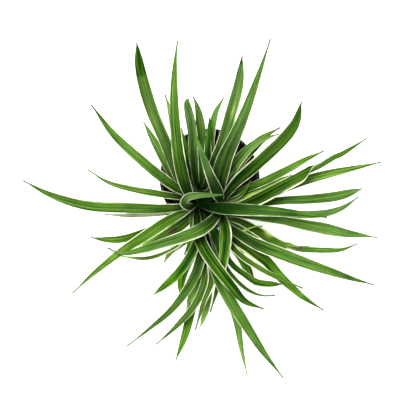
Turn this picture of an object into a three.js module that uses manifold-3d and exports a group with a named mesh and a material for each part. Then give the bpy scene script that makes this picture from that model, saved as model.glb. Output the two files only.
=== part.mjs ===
// A spider plant in a black nursery pot, in millimetres, +Z up.
// The origin is the middle of the pot's underside, and the pot's axis is the Z axis.
// Five rosettes of arching leaves grow from short crowns, crowded towards -Y, in a pot filled with soil.
import * as THREE from "three";
import { mergeVertices } from "three/addons/utils/BufferGeometryUtils.js";
import Module from "manifold-3d";

// The pot, a thin tapered shell with a thicker band round its mouth.
const POT_HEIGHT = 105;
const POT_RIM_RADIUS = 60;
const POT_TOP_RADIUS = 57.6;
const POT_BASE_RADIUS = 42.5;
const POT_WALL = 1.4;
const POT_FLOOR = 2;
const RIM_BAND = 8;
const RIM_ROUNDING = 0.8;
const BASE_CHAMFER = 1;
const POT_SIDES = 48;
const DRAIN_HOLES = 8;
const DRAIN_RADIUS = 4;
const DRAIN_RING_RADIUS = 31;
const DRAIN_SIDES = 12;

// The soil, which fills the pot to a little below its mouth.
const SOIL_TOP = 92;
const SOIL_RINGS = 8;
const SOIL_SIDES = 36;

// The soil's lumps are crossing waves, in radians per millimetre, each this high.
const LUMP_HEIGHT = 0.55;
const LUMP_WAVES = [
  { alongX: 0.31, alongY: 0.27, shift: 1.3 },
  { alongX: 0.13, alongY: -0.41, shift: 0.7 },
  { alongX: 0.47, alongY: 0.19, shift: 3.7 },
];

// The clearance between touching pieces, how far a cutter reaches past what it cuts, and how near two
// corners are merged into one.
const GAP = 0.3;
const CUT_PAST = 5;
const MERGE_WITHIN = 1e-4;

// The crowns, short stems that stand in round holes in the soil.
const CROWN_RADIUS = 5.5;
const CROWN_FOOT = 76;
const CROWN_TOP = 97;
const CROWN_CAP = 3;
const CROWN_SIDES = 10;

// The blades. Each is a folded strip that narrows towards its root and its tip.
const BLADE_THICKNESS = 0.9;
const BLADE_STEP = 22;
const FEWEST_STEPS = 5;
const MOST_STEPS = 12;
const TIP_WIDTH = 1.2;
const WIDEST = 0.42;
const TAPER = 2;
const ROOT_SHARE = 0.5;
const ROOT_OFFSET = 2.5;
const FOLD_AT_ROOT = 0.8;
const FOLD = 0.24;
const FOLD_REACH = 0.3;
const CORNERS = 6;

const POT_PLASTIC = { color: 0x17181a, roughness: 0.45 };
const POTTING_SOIL = { color: 0x3a3020, roughness: 0.95 };
const LEAF = { color: 0x3f7d2a, roughness: 0.5 };

// The leaves of each rosette. A crown stands at `crown` in plan. A leaf's route is its midrib from the
// shoulder, just outside the crown, to the tip. Its width is across the two edges where it is widest,
// which is at the share `widest` of its length. `taper` is 1 for a fine tip and 3 or more for a blunt
// one, and `root` is the share of the width that is left at the crown.
const ROSETTES = {
  rosette_left: {
    crown: [-15.1, -31.8],
    leaves: [
      { name: "long_right", width: 14, widest: 0.42, taper: 1.9, root: 0.25,
        route: [[-8, -33, 125], [6, -35, 152], [34, -37, 182], [67, -39, 194], [99, -42, 190],
          [133, -46, 176]] },
      { name: "curled_back", width: 10,
        route: [[-24, -34, 142], [-29, -29, 168], [-24, -23, 180], [-11, -21, 180], [3, -21, 172],
          [16, -20, 162]] },
      { name: "far_up_left", width: 11.5, widest: 0.4, taper: 2.3,
        route: [[-26, -19, 138], [-46, -7, 165], [-80, 21, 178], [-108, 47, 166], [-138, 85, 138]] },
      { name: "slim_left", width: 8.5, widest: 0.42, taper: 1.4,
        route: [[-30, -24, 124], [-52, -20, 138], [-87, -14, 138], [-120, -5, 120], [-147, 11, 98]] },
      { name: "long_left", width: 12.5, widest: 0.42, taper: 2,
        route: [[-30, -34, 132], [-57, -36, 158], [-96, -35, 170], [-137, -33, 158], [-185, -21, 122],
          [-227, -2, 88]] },
      { name: "pale_under_left", width: 7.5,
        route: [[-34, -38, 116], [-69, -42, 138], [-95, -44, 140], [-123, -43, 128]] },
      { name: "bright_down_left", width: 13.5, widest: 0.36, taper: 1.22, root: 0.35,
        route: [[-29, -40, 130], [-47, -50, 155], [-70, -65, 166], [-99, -84, 160], [-132, -109, 138],
          [-165, -138, 104]] },
      { name: "shaded_down_left", width: 8, widest: 0.42, taper: 3,
        route: [[-28, -45, 116], [-44, -56, 130], [-59, -66, 136], [-83, -80, 132]] },
      { name: "browned_down_left", width: 12, widest: 0.5, taper: 3, root: 0.4,
        route: [[-24, -49, 112], [-37, -59, 122], [-58, -71, 126], [-83, -83, 112]] },
      { name: "low_left", width: 10, widest: 0.42, taper: 3,
        route: [[-34, -46, 112], [-70, -62, 130], [-103, -72, 124], [-125, -73, 112],
          [-143, -71, 98]] },
      { name: "thread_left", width: 5, widest: 0.42, taper: 4,
        route: [[-19, -52, 111], [-23, -65, 119], [-34, -77, 123], [-44, -84, 122], [-73, -95, 112],
          [-107, -94, 94]] },
      { name: "stub_left", width: 8.5, widest: 0.42, taper: 3,
        route: [[-19, -54, 111], [-23, -68, 113], [-34, -78, 113], [-45, -86, 108], [-55, -101, 92]] },
      { name: "dark_down", width: 9.5,
        route: [[-19, -43, 113], [-19, -58, 118], [-23, -77, 121], [-30, -91, 112]] },
      { name: "over_down_right", width: 14, widest: 0.42, taper: 2.2,
        route: [[-15, -45, 122], [-11, -72, 150], [0, -92, 164], [12, -108, 170], [26, -126, 166],
          [40, -142, 156], [63, -153, 140]] },
      { name: "blunt_top", width: 13.5, widest: 0.55, taper: 4.5,
        route: [[-26, -20, 135], [-37, 3, 162], [-49, 37, 188], [-64, 73, 197], [-77, 117, 184],
          [-83, 153, 165]] },
      { name: "tall_top", width: 14.5, widest: 0.36, taper: 1.7,
        route: [[-23, -21, 140], [-30, -1, 172], [-35, 27, 196], [-38, 61, 208], [-39, 96, 208],
          [-38, 129, 196], [-36, 152, 184]] },
      { name: "short_top_left", width: 10.5, widest: 0.5, taper: 3, root: 0.35,
        route: [[-29, -16, 122], [-45, 6, 136], [-57, 29, 144], [-77, 65, 138]] },
      { name: "hidden_top", width: 7.5, widest: 0.6, taper: 3,
        route: [[-27, -12, 126], [-38, 32, 150], [-45, 74, 156], [-51, 95, 152]] },
      { name: "olive_left", width: 4,
        route: [[-28, -29, 112], [-36, -25, 118], [-47, -18, 116]] },
      { name: "young_right", width: 9.5,
        route: [[-8, -30, 103], [-3, -28, 107], [3, -25, 110]] },
      { name: "young_left", width: 8.5,
        route: [[-22, -26, 106], [-26, -19, 116], [-25, -9, 122]] },
    ],
  },
  rosette_upper: {
    crown: [-7.8, -13.7],
    leaves: [
      { name: "dark_inner", width: 15.5, widest: 0.32, taper: 1.5,
        route: [[-13, -7, 116], [-14, 7, 130], [-13, 23, 138], [-6, 54, 138]] },
      { name: "dark_outer", width: 10.5, widest: 0.45, taper: 1.7,
        route: [[-16, -10, 112], [-21, 9, 126], [-26, 29, 136], [-33, 58, 136]] },
      { name: "hooked_top", width: 11, widest: 0.5, taper: 6,
        route: [[-15, -6, 122], [-18, 20, 142], [-20, 54, 158], [-24, 75, 160], [-26, 88, 152],
          [-24, 91, 147]] },
      { name: "middle_top", width: 14.5,
        route: [[-10, -2, 118], [-11, 23, 134], [-10, 44, 142], [-11, 64, 146], [-14, 81, 142],
          [-19, 95, 132]] },
      { name: "pale_edge_top", width: 10,
        route: [[-7, -6, 116], [-2, 15, 134], [-2, 34, 142], [-1, 53, 144], [0, 70, 138]] },
      { name: "thin_browned_top", width: 9, widest: 0.48, taper: 2.8,
        route: [[-5, -7, 112], [0, 21, 124], [2, 50, 130], [7, 76, 128], [17, 96, 118]] },
      { name: "streaked_top", width: 13.5, widest: 0.53, taper: 3,
        route: [[-4, -9, 120], [4, 15, 140], [15, 40, 155], [24, 71, 164], [33, 105, 160],
          [38, 142, 142]] },
      { name: "olive_top", width: 4.5,
        route: [[-3, -8, 112], [3, 23, 128], [9, 38, 134], [15, 55, 136]] },
      { name: "young_up", width: 9,
        route: [[-3, -17, 104], [2, -18, 109], [5, -16, 112]] },
    ],
  },
  rosette_right: {
    crown: [13.9, -29.4],
    leaves: [
      { name: "leaning_back", width: 14.5, widest: 0.3, taper: 1.4,
        route: [[11, -22, 120], [6, -10, 143], [0, 3, 162], [-6, 19, 172], [-12, 36, 175],
          [-18, 54, 171]] },
      { name: "tall_right", width: 19.5, widest: 0.28, taper: 1.1,
        route: [[12, -16, 116], [12, -1, 135], [17, 20, 160], [28, 44, 186], [41, 75, 200],
          [55, 114, 192], [69, 156, 172]] },
      { name: "broad_up_right", width: 13.5, widest: 0.35, taper: 1.8,
        route: [[18, -14, 114], [24, 6, 132], [35, 22, 152], [49, 36, 160], [63, 44, 152],
          [81, 51, 138]] },
      { name: "browned_up_right", width: 8.5, widest: 0.42, taper: 3,
        route: [[20, -12, 114], [35, 20, 128], [56, 43, 132], [84, 60, 122]] },
      { name: "edge_on_up_right", width: 7,
        route: [[18, -12, 118], [29, 5, 134], [43, 22, 142], [56, 35, 142], [67, 45, 134]] },
      { name: "curved_up_right", width: 14.5, widest: 0.45, taper: 3.2,
        route: [[20, -19, 122], [31, -5, 142], [47, 9, 160], [63, 23, 172], [81, 40, 174],
          [97, 60, 164], [107, 88, 142]] },
      { name: "browned_right", width: 9.5, widest: 0.42, taper: 2.6,
        route: [[24, -23, 114], [43, -13, 130], [64, -4, 142], [88, 8, 144], [112, 21, 138],
          [135, 32, 124]] },
      { name: "bright_right", width: 10.5,
        route: [[23, -27, 108], [40, -21, 120], [58, -13, 129], [77, -5, 130], [98, 4, 123]] },
      { name: "thin_right", width: 4.5,
        route: [[24, -26, 116], [34, -22, 126], [43, -13, 138], [48, -3, 142]] },
    ],
  },
  rosette_lower_right: {
    crown: [10.5, -43.5],
    leaves: [
      { name: "twisted_right", width: 14.5, widest: 0.3, taper: 2.2,
        route: [[17, -38, 112], [36, -34, 126], [59, -24, 144], [87, -9, 156], [109, 2, 158],
          [125, 9, 156], [139, 17, 151], [160, 30, 138], [186, 47, 122]] },
      { name: "kinked_right", width: 11, widest: 0.55, taper: 1.5,
        route: [[20, -40, 107], [50, -28, 117], [83, -14, 128], [112, -3, 136], [137, 4, 136],
          [168, 11, 124], [207, 20, 104]] },
      { name: "flat_right", width: 11.5, widest: 0.7, taper: 3,
        route: [[20, -41, 106], [48, -32, 116], [83, -27, 126], [118, -25, 126], [153, -21, 112],
          [185, -12, 92]] },
      { name: "rising_right", width: 9.5, widest: 0.5, taper: 2.4,
        route: [[22, -43, 106], [60, -42, 120], [104, -43, 126], [123, -43, 126], [140, -41, 121],
          [159, -35, 110], [180, -22, 96]] },
      { name: "level_right", width: 13.5, widest: 0.64, taper: 1.3, root: 0.15,
        route: [[22, -44, 110], [52, -47, 130], [85, -50, 142], [111, -55, 140], [132, -59, 134],
          [161, -65, 118], [203, -71, 94]] },
      { name: "yellowed_right", width: 12, widest: 0.36, taper: 2.8,
        route: [[21, -47, 108], [38, -52, 120], [59, -64, 130], [80, -77, 134], [103, -86, 128],
          [132, -88, 112], [159, -87, 96], [181, -79, 84]] },
      { name: "sliver_right", width: 10.5,
        route: [[21, -49, 109], [34, -55, 116], [48, -63, 118], [69, -74, 112]] },
      { name: "curled_thread", width: 3.5,
        route: [[17, -49, 110], [22, -53, 122], [29, -60, 134], [37, -63, 140], [44, -60, 140],
          [53, -57, 138], [62, -57, 132]] },
      { name: "long_down_right", width: 14.5, widest: 0.4, taper: 1.6,
        route: [[16, -52, 118], [30, -63, 138], [52, -76, 154], [80, -87, 162], [109, -98, 158],
          [143, -110, 140], [169, -119, 122], [198, -128, 100]] },
      { name: "steep_down_right", width: 14.5, widest: 0.36, taper: 1.5, root: 0.35,
        route: [[16, -57, 112], [28, -71, 117], [47, -84, 122], [66, -98, 124], [83, -116, 119],
          [108, -139, 104], [140, -161, 76]] },
      { name: "bright_down_right", width: 7.5,
        route: [[15, -56, 114], [25, -78, 124], [38, -92, 134], [56, -104, 140], [76, -115, 138],
          [110, -130, 126]] },
      { name: "blunt_down_right", width: 11, widest: 0.55, taper: 3,
        route: [[14, -57, 111], [26, -76, 114], [41, -100, 110], [55, -129, 92]] },
      { name: "bent_down_right", width: 7.5, widest: 0.6, taper: 7,
        route: [[14, -59, 112], [18, -87, 128], [27, -102, 132], [41, -113, 130], [56, -123, 122],
          [86, -127, 106]] },
      { name: "thread_down_right", width: 5.5,
        route: [[13, -62, 114], [17, -100, 123], [31, -120, 118], [47, -134, 108], [63, -141, 96],
          [80, -142, 86]] },
      { name: "bright_down", width: 14, widest: 0.35, taper: 1.12,
        route: [[16, -48, 122], [19, -63, 136], [18, -84, 140], [15, -106, 131], [9, -132, 115],
          [1, -161, 94]] },
      { name: "long_down_left", width: 14.5, widest: 0.4, taper: 1.6,
        route: [[8, -45, 132], [-1, -54, 156], [-12, -61, 172], [-30, -68, 182], [-52, -75, 184],
          [-75, -82, 178], [-100, -87, 168], [-117, -81, 160]] },
    ],
  },
  rosette_lower: {
    crown: [-7, -44.5],
    leaves: [
      { name: "long_down", width: 14, widest: 0.4, taper: 1.7,
        route: [[-6, -62, 114], [0, -87, 130], [9, -113, 143], [23, -141, 142], [42, -172, 126],
          [63, -206, 102], [91, -245, 70]] },
      { name: "slim_down", width: 10.5,
        route: [[-5, -57, 113], [7, -94, 114], [22, -136, 108], [33, -173, 98], [39, -207, 82],
          [47, -244, 62]] },
      { name: "blunt_down_left", width: 11, widest: 0.5, taper: 4,
        route: [[-9, -57, 111], [-19, -86, 109], [-32, -115, 105], [-36, -141, 90]] },
      { name: "wide_down_left", width: 10.5, widest: 0.5, taper: 3.6,
        route: [[-11, -60, 130], [-16, -78, 140], [-26, -97, 145], [-38, -113, 142], [-51, -125, 134],
          [-66, -138, 122]] },
      { name: "arched_down_left", width: 12, widest: 0.35, taper: 1.2,
        route: [[-8, -64, 116], [-9, -87, 126], [-16, -112, 132], [-27, -132, 128], [-44, -155, 116],
          [-72, -181, 94], [-102, -206, 72]] },
      { name: "shaded_down", width: 9.5, widest: 0.45, taper: 1.8,
        route: [[-6, -64, 113], [-3, -99, 121], [-7, -127, 122], [-18, -151, 116], [-37, -175, 98],
          [-66, -204, 70]] },
      { name: "short_down", width: 12.5, widest: 0.5, taper: 4,
        route: [[-7, -57, 114], [-8, -97, 117], [-17, -131, 109], [-28, -159, 92]] },
      { name: "drooping_down", width: 11, widest: 0.6, taper: 2.4,
        route: [[-8, -56, 114], [-8, -77, 117], [-11, -119, 108], [-22, -159, 95], [-30, -191, 80],
          [-42, -225, 60]] },
      { name: "lime_down", width: 10.5, widest: 0.42, taper: 1.3,
        route: [[-4, -64, 116], [2, -99, 130], [2, -123, 133], [-7, -147, 124], [-17, -182, 100]] },
      { name: "blunt_down", width: 7.5, widest: 0.72, taper: 4,
        route: [[-5, -57, 113], [-1, -86, 112], [1, -116, 104], [-1, -144, 93], [-5, -162, 85],
          [-11, -181, 76]] },
      { name: "young_low", width: 9.5,
        route: [[-2, -41, 104], [2, -39, 107], [6, -38, 108]] },
      { name: "dark_filler", width: 12.5,
        route: [[-2, -54, 110], [8, -70, 109], [10, -98, 106]] },
    ],
  },
};

const wasm = await Module();
wasm.setup();

const UP = new THREE.Vector3(0, 0, 1);

// A closed geometry as a solid that can be joined or cut.
function solidOf(geometry) {
  const bare = geometry.clone();
  bare.deleteAttribute("normal");
  bare.deleteAttribute("uv");
  const merged = mergeVertices(bare, MERGE_WITHIN);
  return new wasm.Manifold(
    new wasm.Mesh({
      numProp: 3,
      vertProperties: merged.attributes.position.array,
      triVerts: new Uint32Array(merged.index.array),
    }),
  );
}

function geometryOf(solid) {
  const mesh = solid.getMesh();
  const geometry = new THREE.BufferGeometry();
  geometry.setAttribute("position", new THREE.BufferAttribute(mesh.vertProperties, 3));
  geometry.setIndex(new THREE.BufferAttribute(mesh.triVerts, 1));
  geometry.computeVertexNormals();
  return geometry;
}

function geometryFrom(corners, faces) {
  const geometry = new THREE.BufferGeometry();
  geometry.setAttribute("position", new THREE.Float32BufferAttribute(corners.flat(), 3));
  geometry.setIndex(faces.flat());
  return geometry;
}

// A solid of revolution about the Z axis, from a profile of [radius, height] points.
function turned(profile, sides) {
  const points = profile.map(([radius, height]) => new THREE.Vector2(radius, height));
  return new THREE.LatheGeometry(points, sides).rotateX(Math.PI / 2);
}

// An upright round bar from one height to another.
function bar(x, y, radius, low, high, sides) {
  return turned([[0, low], [radius, low], [radius, high], [0, high]], sides).translate(x, y, 0);
}

function wallRadius(z) {
  return POT_BASE_RADIUS + ((POT_TOP_RADIUS - POT_BASE_RADIUS) * z) / POT_HEIGHT;
}

function potGeometry() {
  const bandFoot = POT_HEIGHT - RIM_BAND;
  const shell = turned(
    [
      [0, 0],
      [POT_BASE_RADIUS - BASE_CHAMFER, 0],
      [POT_BASE_RADIUS, BASE_CHAMFER],
      [wallRadius(bandFoot), bandFoot],
      [POT_RIM_RADIUS - RIM_ROUNDING, bandFoot],
      [POT_RIM_RADIUS, bandFoot + RIM_ROUNDING],
      [POT_RIM_RADIUS, POT_HEIGHT - RIM_ROUNDING],
      [POT_RIM_RADIUS - RIM_ROUNDING, POT_HEIGHT],
      [POT_TOP_RADIUS - POT_WALL + RIM_ROUNDING, POT_HEIGHT],
      [POT_TOP_RADIUS - POT_WALL, POT_HEIGHT - RIM_ROUNDING],
      [wallRadius(POT_FLOOR) - POT_WALL, POT_FLOOR],
      [0, POT_FLOOR],
    ],
    POT_SIDES,
  );
  let pot = solidOf(shell);
  for (let i = 0; i < DRAIN_HOLES; i++) {
    const turn = (2 * Math.PI * i) / DRAIN_HOLES;
    const x = DRAIN_RING_RADIUS * Math.cos(turn);
    const y = DRAIN_RING_RADIUS * Math.sin(turn);
    const cutter = bar(x, y, DRAIN_RADIUS, -CUT_PAST, POT_FLOOR + CUT_PAST, DRAIN_SIDES);
    pot = pot.subtract(solidOf(cutter));
  }
  return geometryOf(pot);
}

function lump(x, y) {
  let height = 0;
  for (const { alongX, alongY, shift } of LUMP_WAVES) {
    height += LUMP_HEIGHT * Math.sin(x * alongX + y * alongY + shift);
  }
  return height;
}

function soilGeometry() {
  const floor = POT_FLOOR + GAP;
  const footRadius = wallRadius(floor) - POT_WALL - GAP;
  const topRadius = wallRadius(SOIL_TOP) - POT_WALL - GAP;
  const corners = [[0, 0, floor], [0, 0, SOIL_TOP + lump(0, 0)]];
  for (let ring = 0; ring <= SOIL_RINGS; ring++) {
    const foot = ring === SOIL_RINGS;
    const radius = foot ? footRadius : (topRadius * (ring + 1)) / SOIL_RINGS;
    for (let i = 0; i < SOIL_SIDES; i++) {
      const turn = (2 * Math.PI * i) / SOIL_SIDES;
      const x = radius * Math.cos(turn);
      const y = radius * Math.sin(turn);
      const atWall = ring === SOIL_RINGS - 1;
      corners.push([x, y, foot ? floor : SOIL_TOP + (atWall ? 0 : lump(x, y))]);
    }
  }
  const at = (ring, i) => 2 + ring * SOIL_SIDES + (i % SOIL_SIDES);
  const faces = [];
  for (let i = 0; i < SOIL_SIDES; i++) {
    faces.push([1, at(0, i), at(0, i + 1)]);
    faces.push([0, at(SOIL_RINGS, i + 1), at(SOIL_RINGS, i)]);
    for (let ring = 0; ring < SOIL_RINGS; ring++) {
      faces.push([at(ring, i), at(ring + 1, i), at(ring + 1, i + 1)]);
      faces.push([at(ring, i), at(ring + 1, i + 1), at(ring, i + 1)]);
    }
  }
  let soil = solidOf(geometryFrom(corners, faces));
  for (const { crown: [x, y] } of Object.values(ROSETTES)) {
    const hole = bar(x, y, CROWN_RADIUS + GAP, CROWN_FOOT - GAP, SOIL_TOP + CUT_PAST, CROWN_SIDES);
    soil = soil.subtract(solidOf(hole));
  }
  return geometryOf(soil);
}

// The share of a blade's full width at the share t of its length.
function breadth(t, { widest = WIDEST, taper = TAPER, root = ROOT_SHARE }) {
  if (t < widest) return root + (1 - root) * THREE.MathUtils.smoothstep(t, 0, widest);
  return 1 - ((t - widest) / (1 - widest)) ** taper;
}

// How far the edges stand above the midrib, as a share of half the width.
function fold(t) {
  const closed = Math.max(0, 1 - t / FOLD_REACH);
  return FOLD + (FOLD_AT_ROOT - FOLD) * closed * closed;
}

// One blade: rings of six corners, three on the upper face and then three on the lower, joined in turn.
function bladeGeometry(leaf, crown) {
  const shoulder = new THREE.Vector3(...leaf.route[0]);
  const start = new THREE.Vector3(crown[0], crown[1], CROWN_TOP);
  const outward = shoulder.clone().sub(start).setZ(0).setLength(ROOT_OFFSET);
  const points = leaf.route.map((point) => new THREE.Vector3(...point));
  const midrib = new THREE.CatmullRomCurve3([start.add(outward), ...points], false, "centripetal");
  const wanted = Math.round(midrib.getLength() / BLADE_STEP);
  const steps = THREE.MathUtils.clamp(wanted, FEWEST_STEPS, MOST_STEPS);
  const corners = [];
  for (let i = 0; i <= steps; i++) {
    const t = i / steps;
    const along = midrib.getTangentAt(t);
    const side = along.clone().cross(UP).normalize();
    const above = side.clone().cross(along);
    const half = Math.max(leaf.width * breadth(t, leaf), TIP_WIDTH) / 2;
    for (const face of [0.5, -0.5]) {
      for (const across of [-1, 0, 1]) {
        const corner = midrib.getPointAt(t);
        corner.addScaledVector(side, across * half);
        corner.addScaledVector(above, Math.abs(across) * half * fold(t) + face * BLADE_THICKNESS);
        corners.push(corner.toArray());
      }
    }
  }
  // Each pair of neighbours round a ring makes one strip. Both faces are split along the same diagonals.
  const strips = [[0, 1, false], [1, 2, true], [2, 5, false], [5, 4, true], [4, 3, false], [3, 0, false]];
  const faces = [[0, 4, 1], [0, 3, 4], [1, 5, 2], [1, 4, 5]];
  const last = CORNERS * steps;
  for (const [a, b, c] of faces.slice()) faces.push([last + a, last + c, last + b]);
  for (let ring = 0; ring < last; ring += CORNERS) {
    for (const [from, to, mirrored] of strips) {
      const near = [ring + from, ring + to];
      const far = [ring + CORNERS + from, ring + CORNERS + to];
      if (mirrored) faces.push([near[0], near[1], far[0]], [near[1], far[1], far[0]]);
      else faces.push([near[0], near[1], far[1]], [near[0], far[1], far[0]]);
    }
  }
  return geometryFrom(corners, faces);
}

function rosetteGeometry({ crown, leaves }) {
  const stem = turned(
    [
      [0, CROWN_FOOT],
      [CROWN_RADIUS, CROWN_FOOT],
      [CROWN_RADIUS, CROWN_TOP],
      [CROWN_RADIUS * Math.SQRT1_2, CROWN_TOP + CROWN_CAP * Math.SQRT1_2],
      [0, CROWN_TOP + CROWN_CAP],
    ],
    CROWN_SIDES,
  );
  let rosette = solidOf(stem.translate(crown[0], crown[1], 0));
  for (const leaf of leaves) rosette = rosette.add(solidOf(bladeGeometry(leaf, crown)));
  // Where blades close round a small hollow, only the outer surface is kept, which fills it.
  const bodies = rosette.decompose();
  return geometryOf(bodies.reduce((a, b) => (a.volume() > b.volume() ? a : b)));
}

function meshOf(name, geometry, { color, roughness }) {
  const material = new THREE.MeshStandardMaterial({ color, roughness, metalness: 0 });
  const mesh = new THREE.Mesh(geometry, material);
  mesh.name = name;
  return mesh;
}

const plant = new THREE.Group();
plant.add(meshOf("pot", potGeometry(), POT_PLASTIC));
plant.add(meshOf("soil", soilGeometry(), POTTING_SOIL));
for (const [name, rosette] of Object.entries(ROSETTES)) {
  plant.add(meshOf(name, rosetteGeometry(rosette), LEAF));
}

export default plant;
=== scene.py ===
import math
import random

import bpy
import numpy as np
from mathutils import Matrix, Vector, noise


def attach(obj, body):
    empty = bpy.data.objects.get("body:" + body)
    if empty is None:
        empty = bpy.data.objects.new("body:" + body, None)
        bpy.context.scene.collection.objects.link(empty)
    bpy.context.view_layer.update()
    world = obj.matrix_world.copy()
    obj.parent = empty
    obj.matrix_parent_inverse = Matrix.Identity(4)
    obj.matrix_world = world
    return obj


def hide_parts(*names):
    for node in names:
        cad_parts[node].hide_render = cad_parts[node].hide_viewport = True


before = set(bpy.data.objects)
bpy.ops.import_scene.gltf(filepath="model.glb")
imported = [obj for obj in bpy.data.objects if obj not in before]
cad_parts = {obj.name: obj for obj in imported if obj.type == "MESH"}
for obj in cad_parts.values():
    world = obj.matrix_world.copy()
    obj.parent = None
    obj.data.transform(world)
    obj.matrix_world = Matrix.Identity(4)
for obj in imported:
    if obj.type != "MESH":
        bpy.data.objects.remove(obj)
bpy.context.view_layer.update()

MM = 0.001
SEED = 11

# The camera looks straight down from this height, and its frame is this wide where the pot's mouth is.
CAMERA_AT = (-1.8, -35.4, 1305)
MOUTH_HEIGHT = 105
FRAME_WIDTH = 499.2
SENSOR_WIDTH = 36

# A leaf leaves its crown as in the solids. Its fold, in halves of the width, is a little deeper than
# theirs, and deeper still where the blade twists.
CROWN_TOP = 97
ROOT_OFFSET = 2.5
FOLD_AT_ROOT = 0.8
FOLD = 0.32
FOLD_REACH = 0.3
TWIST_FOLD = 1.0

# The finer blades: the curve's points between two places of a route, the distance between rows of
# corners, the fewest of these steps, the columns across one face, from edge to edge in halves of the
# width, and the width left at the tip.
CURVE_POINTS = 40
ROW_STEP = 2.6
FEWEST_ROWS = 8
COLUMNS = (-1, -0.93, -0.82, -0.66, -0.5, -0.34, -0.18, -0.07,
           0, 0.07, 0.18, 0.34, 0.5, 0.66, 0.82, 0.93, 1)
TIP_WIDTH = 1.8

# A blade's thickness falls from its midrib to its edges, and with its width once half of that is less
# than THICK_FULL_AT, but not below the share THINNEST.
THICK_MIDRIB = 0.8
THICK_EDGE = 0.28
KEEL_REACH = 1.1
THICK_FULL_AT = 3
THINNEST = 0.3

# The rounding at the bottom of the fold, in halves of the width, the pleats along a blade, the waves and
# ripples of its edges, the half width from which all of these are full, and the shares of the length over
# which they start.
GROOVE = 0.12
PLEAT_DEPTH = 0.16
PLEAT_PITCH = 2.3
WAVE_HEIGHT = 0.5
WAVE_LENGTH = 34
RIPPLE_SCALE = 2.9
RIPPLE_SHARE = 0.4
RELIEF_FULL_AT = 6
RELIEF_FROM_ROOT = (0.02, 0.2)
RELIEF_FROM_TIP = (0.01, 0.15)

# The pot, as in the solids.
POT_HEIGHT = 105
POT_RIM_RADIUS = 60
POT_TOP_RADIUS = 57.6
POT_BASE_RADIUS = 42.5
POT_WALL = 1.4
POT_FLOOR = 2
FLOOR_BEVEL = 2
RIM_BAND = 8
RIM_ROUNDING = 0.8
UNDER_BAND = 0.3
STEP_ABOVE = 1
STEP_BELOW = 0.5
BASE_ROUNDING = 1
POT_SIDES = 128
DRAIN_HOLES = 8
DRAIN_RADIUS = 4
DRAIN_RING_RADIUS = 31
DRAIN_SIDES = 32
CUT_PAST = 5

# The soil fills the pot to this height but for a thin gap. Slow swells and small lumps shape its top.
SOIL_TOP = 92
SOIL_GAP = 0.3
SOIL_RINGS = 64
SOIL_SIDES = 200
SWELL_HEIGHT = 0.7
LUMP_HEIGHT = 1.5
LUMP_FINENESS = 0.16

# Crumbs on the soil: how many, how far from the wall, their sizes, and their measures in sizes.
CRUMBS = 420
CRUMB_FROM_WALL = 3.5
CRUMB_SIZE = (0.5, 1.5)
CRUMB_LENGTH = (0.8, 2.4)
CRUMB_WIDTH = (0.6, 1.1)
CRUMB_HEIGHT = 0.6
CRUMB_RAISED = 0.25
CRUMB_ROUGHNESS = 0.35

# The stem in the middle of a rosette: its profile in (share of its radius, height), and its ribs.
CROWN_RADIUS = 5.5
CROWN_PROFILE = [(0, 86), (0.92, 86), (1, 90), (0.93, 93), (1, 95.5), (0.9, 98), (0.6, 99.6), (0, 100)]
CROWN_SIDES = 28
CROWN_RIBS = 5
CROWN_RIB_DEPTH = 0.06

# What the leaves' material reads all over a stem, whose shade and light values paint it dark, as shade
# among the leaves.
CROWN_LOOK = dict(out=0, gone=0, seed=3, inside=4, tone=0.4, light=0.5, sheath=0.5, brown=0.2,
                  bloom=0, shade=0.7, pale=0, under=0)

# The patterns on a leaf: how fine each is across the blade and along it, per mm, and its detail. SEED_STEP
# sets the pattern of one leaf apart from the next one's.
LEAF_PATTERNS = dict(
    bands=(0.5, 0.006, 1.0),
    streaks=(1.0, 0.012, 2.0),
    fine=(3.4, 0.03, 2.0),
    patches=(0.09, 0.03, 2.0),
    ragged=(0.4, 0.1, 3.0),
    gaps=(0.1, 0.05, 2.0),
)
SEED_STEP = 37.7

# How strongly these patterns shift a leaf's tone, how much lighter its fine veins are, how ragged its
# margins are in mm, where they start to fade, as a share of the length, and how far its dried parts fray.
TONE_SHIFTS = dict(bands=1.1, streaks=1.5, patches=0.7)
VEIN_CONTRAST = 0.7
MARGIN_RAGGED = 0.9
MARGIN_FADES = 0.55
FRAYING = 0.6

# Over these values of a pattern each of these comes in. MARGIN_EDGE is in mm from a margin's inner border.
VEINS_SHOW = (0.5, 0.75)
DRIED_SHOWS = (0.2, 0.6)
MARGIN_EDGE = (-0.25, 0.35)
SHEEN_SHOWS = (0.3, 0.62)
PALE_SHOWS = (0.42, 0.66)
MARGIN_SHOWS = (0.1, 0.75)

# How much a leaf shines, how rough it is, and how much its underside differs.
LEAF_SHEEN = 0.02
LEAF_ROUGHNESS = 0.42
PATCH_ROUGHNESS = 0.12
UNDER_ROUGHNESS = 0.15
UNDER_COLOUR = 0.25

# How far from its crown, in mm, the painted shade on a leaf's base starts to fade, and over which stretch
# its sheath ends.
PAINTED_SHADE_START = 5
SHEATH_REACH = (2, 16)

# Over this distance from its crown, in mm, a leaf's painted light and the share of its painted sheen rise
# from those at its base, which is painted in shade. Its tone is that much deeper at its base, as more
# painted shade.
BASE_REACH = (20, 150)
BASE_LIGHT = 0.7
TIP_LIGHT = 1.1
BASE_SHEEN = 0.3
BASE_DEEPER = 0.3

# A tip painted in shade loses this share of its tone, over this distance in mm.
TIP_DEEPER = 0.5
TIP_DEEPENS = 5

# How far a spot reaches across its blade, in halves of the width.
SPOT_WIDTH = 0.7

# The soil is painted dark round this place, as shade under the crowns: here lengths are in metres, as a
# shader reads them.
SOIL_SHADE_AT = (0, -0.022, 0.092)
SOIL_SHADE_REACH = (0.022, 0.07)
SHADED_SOIL_LIGHT = 0.15

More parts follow.
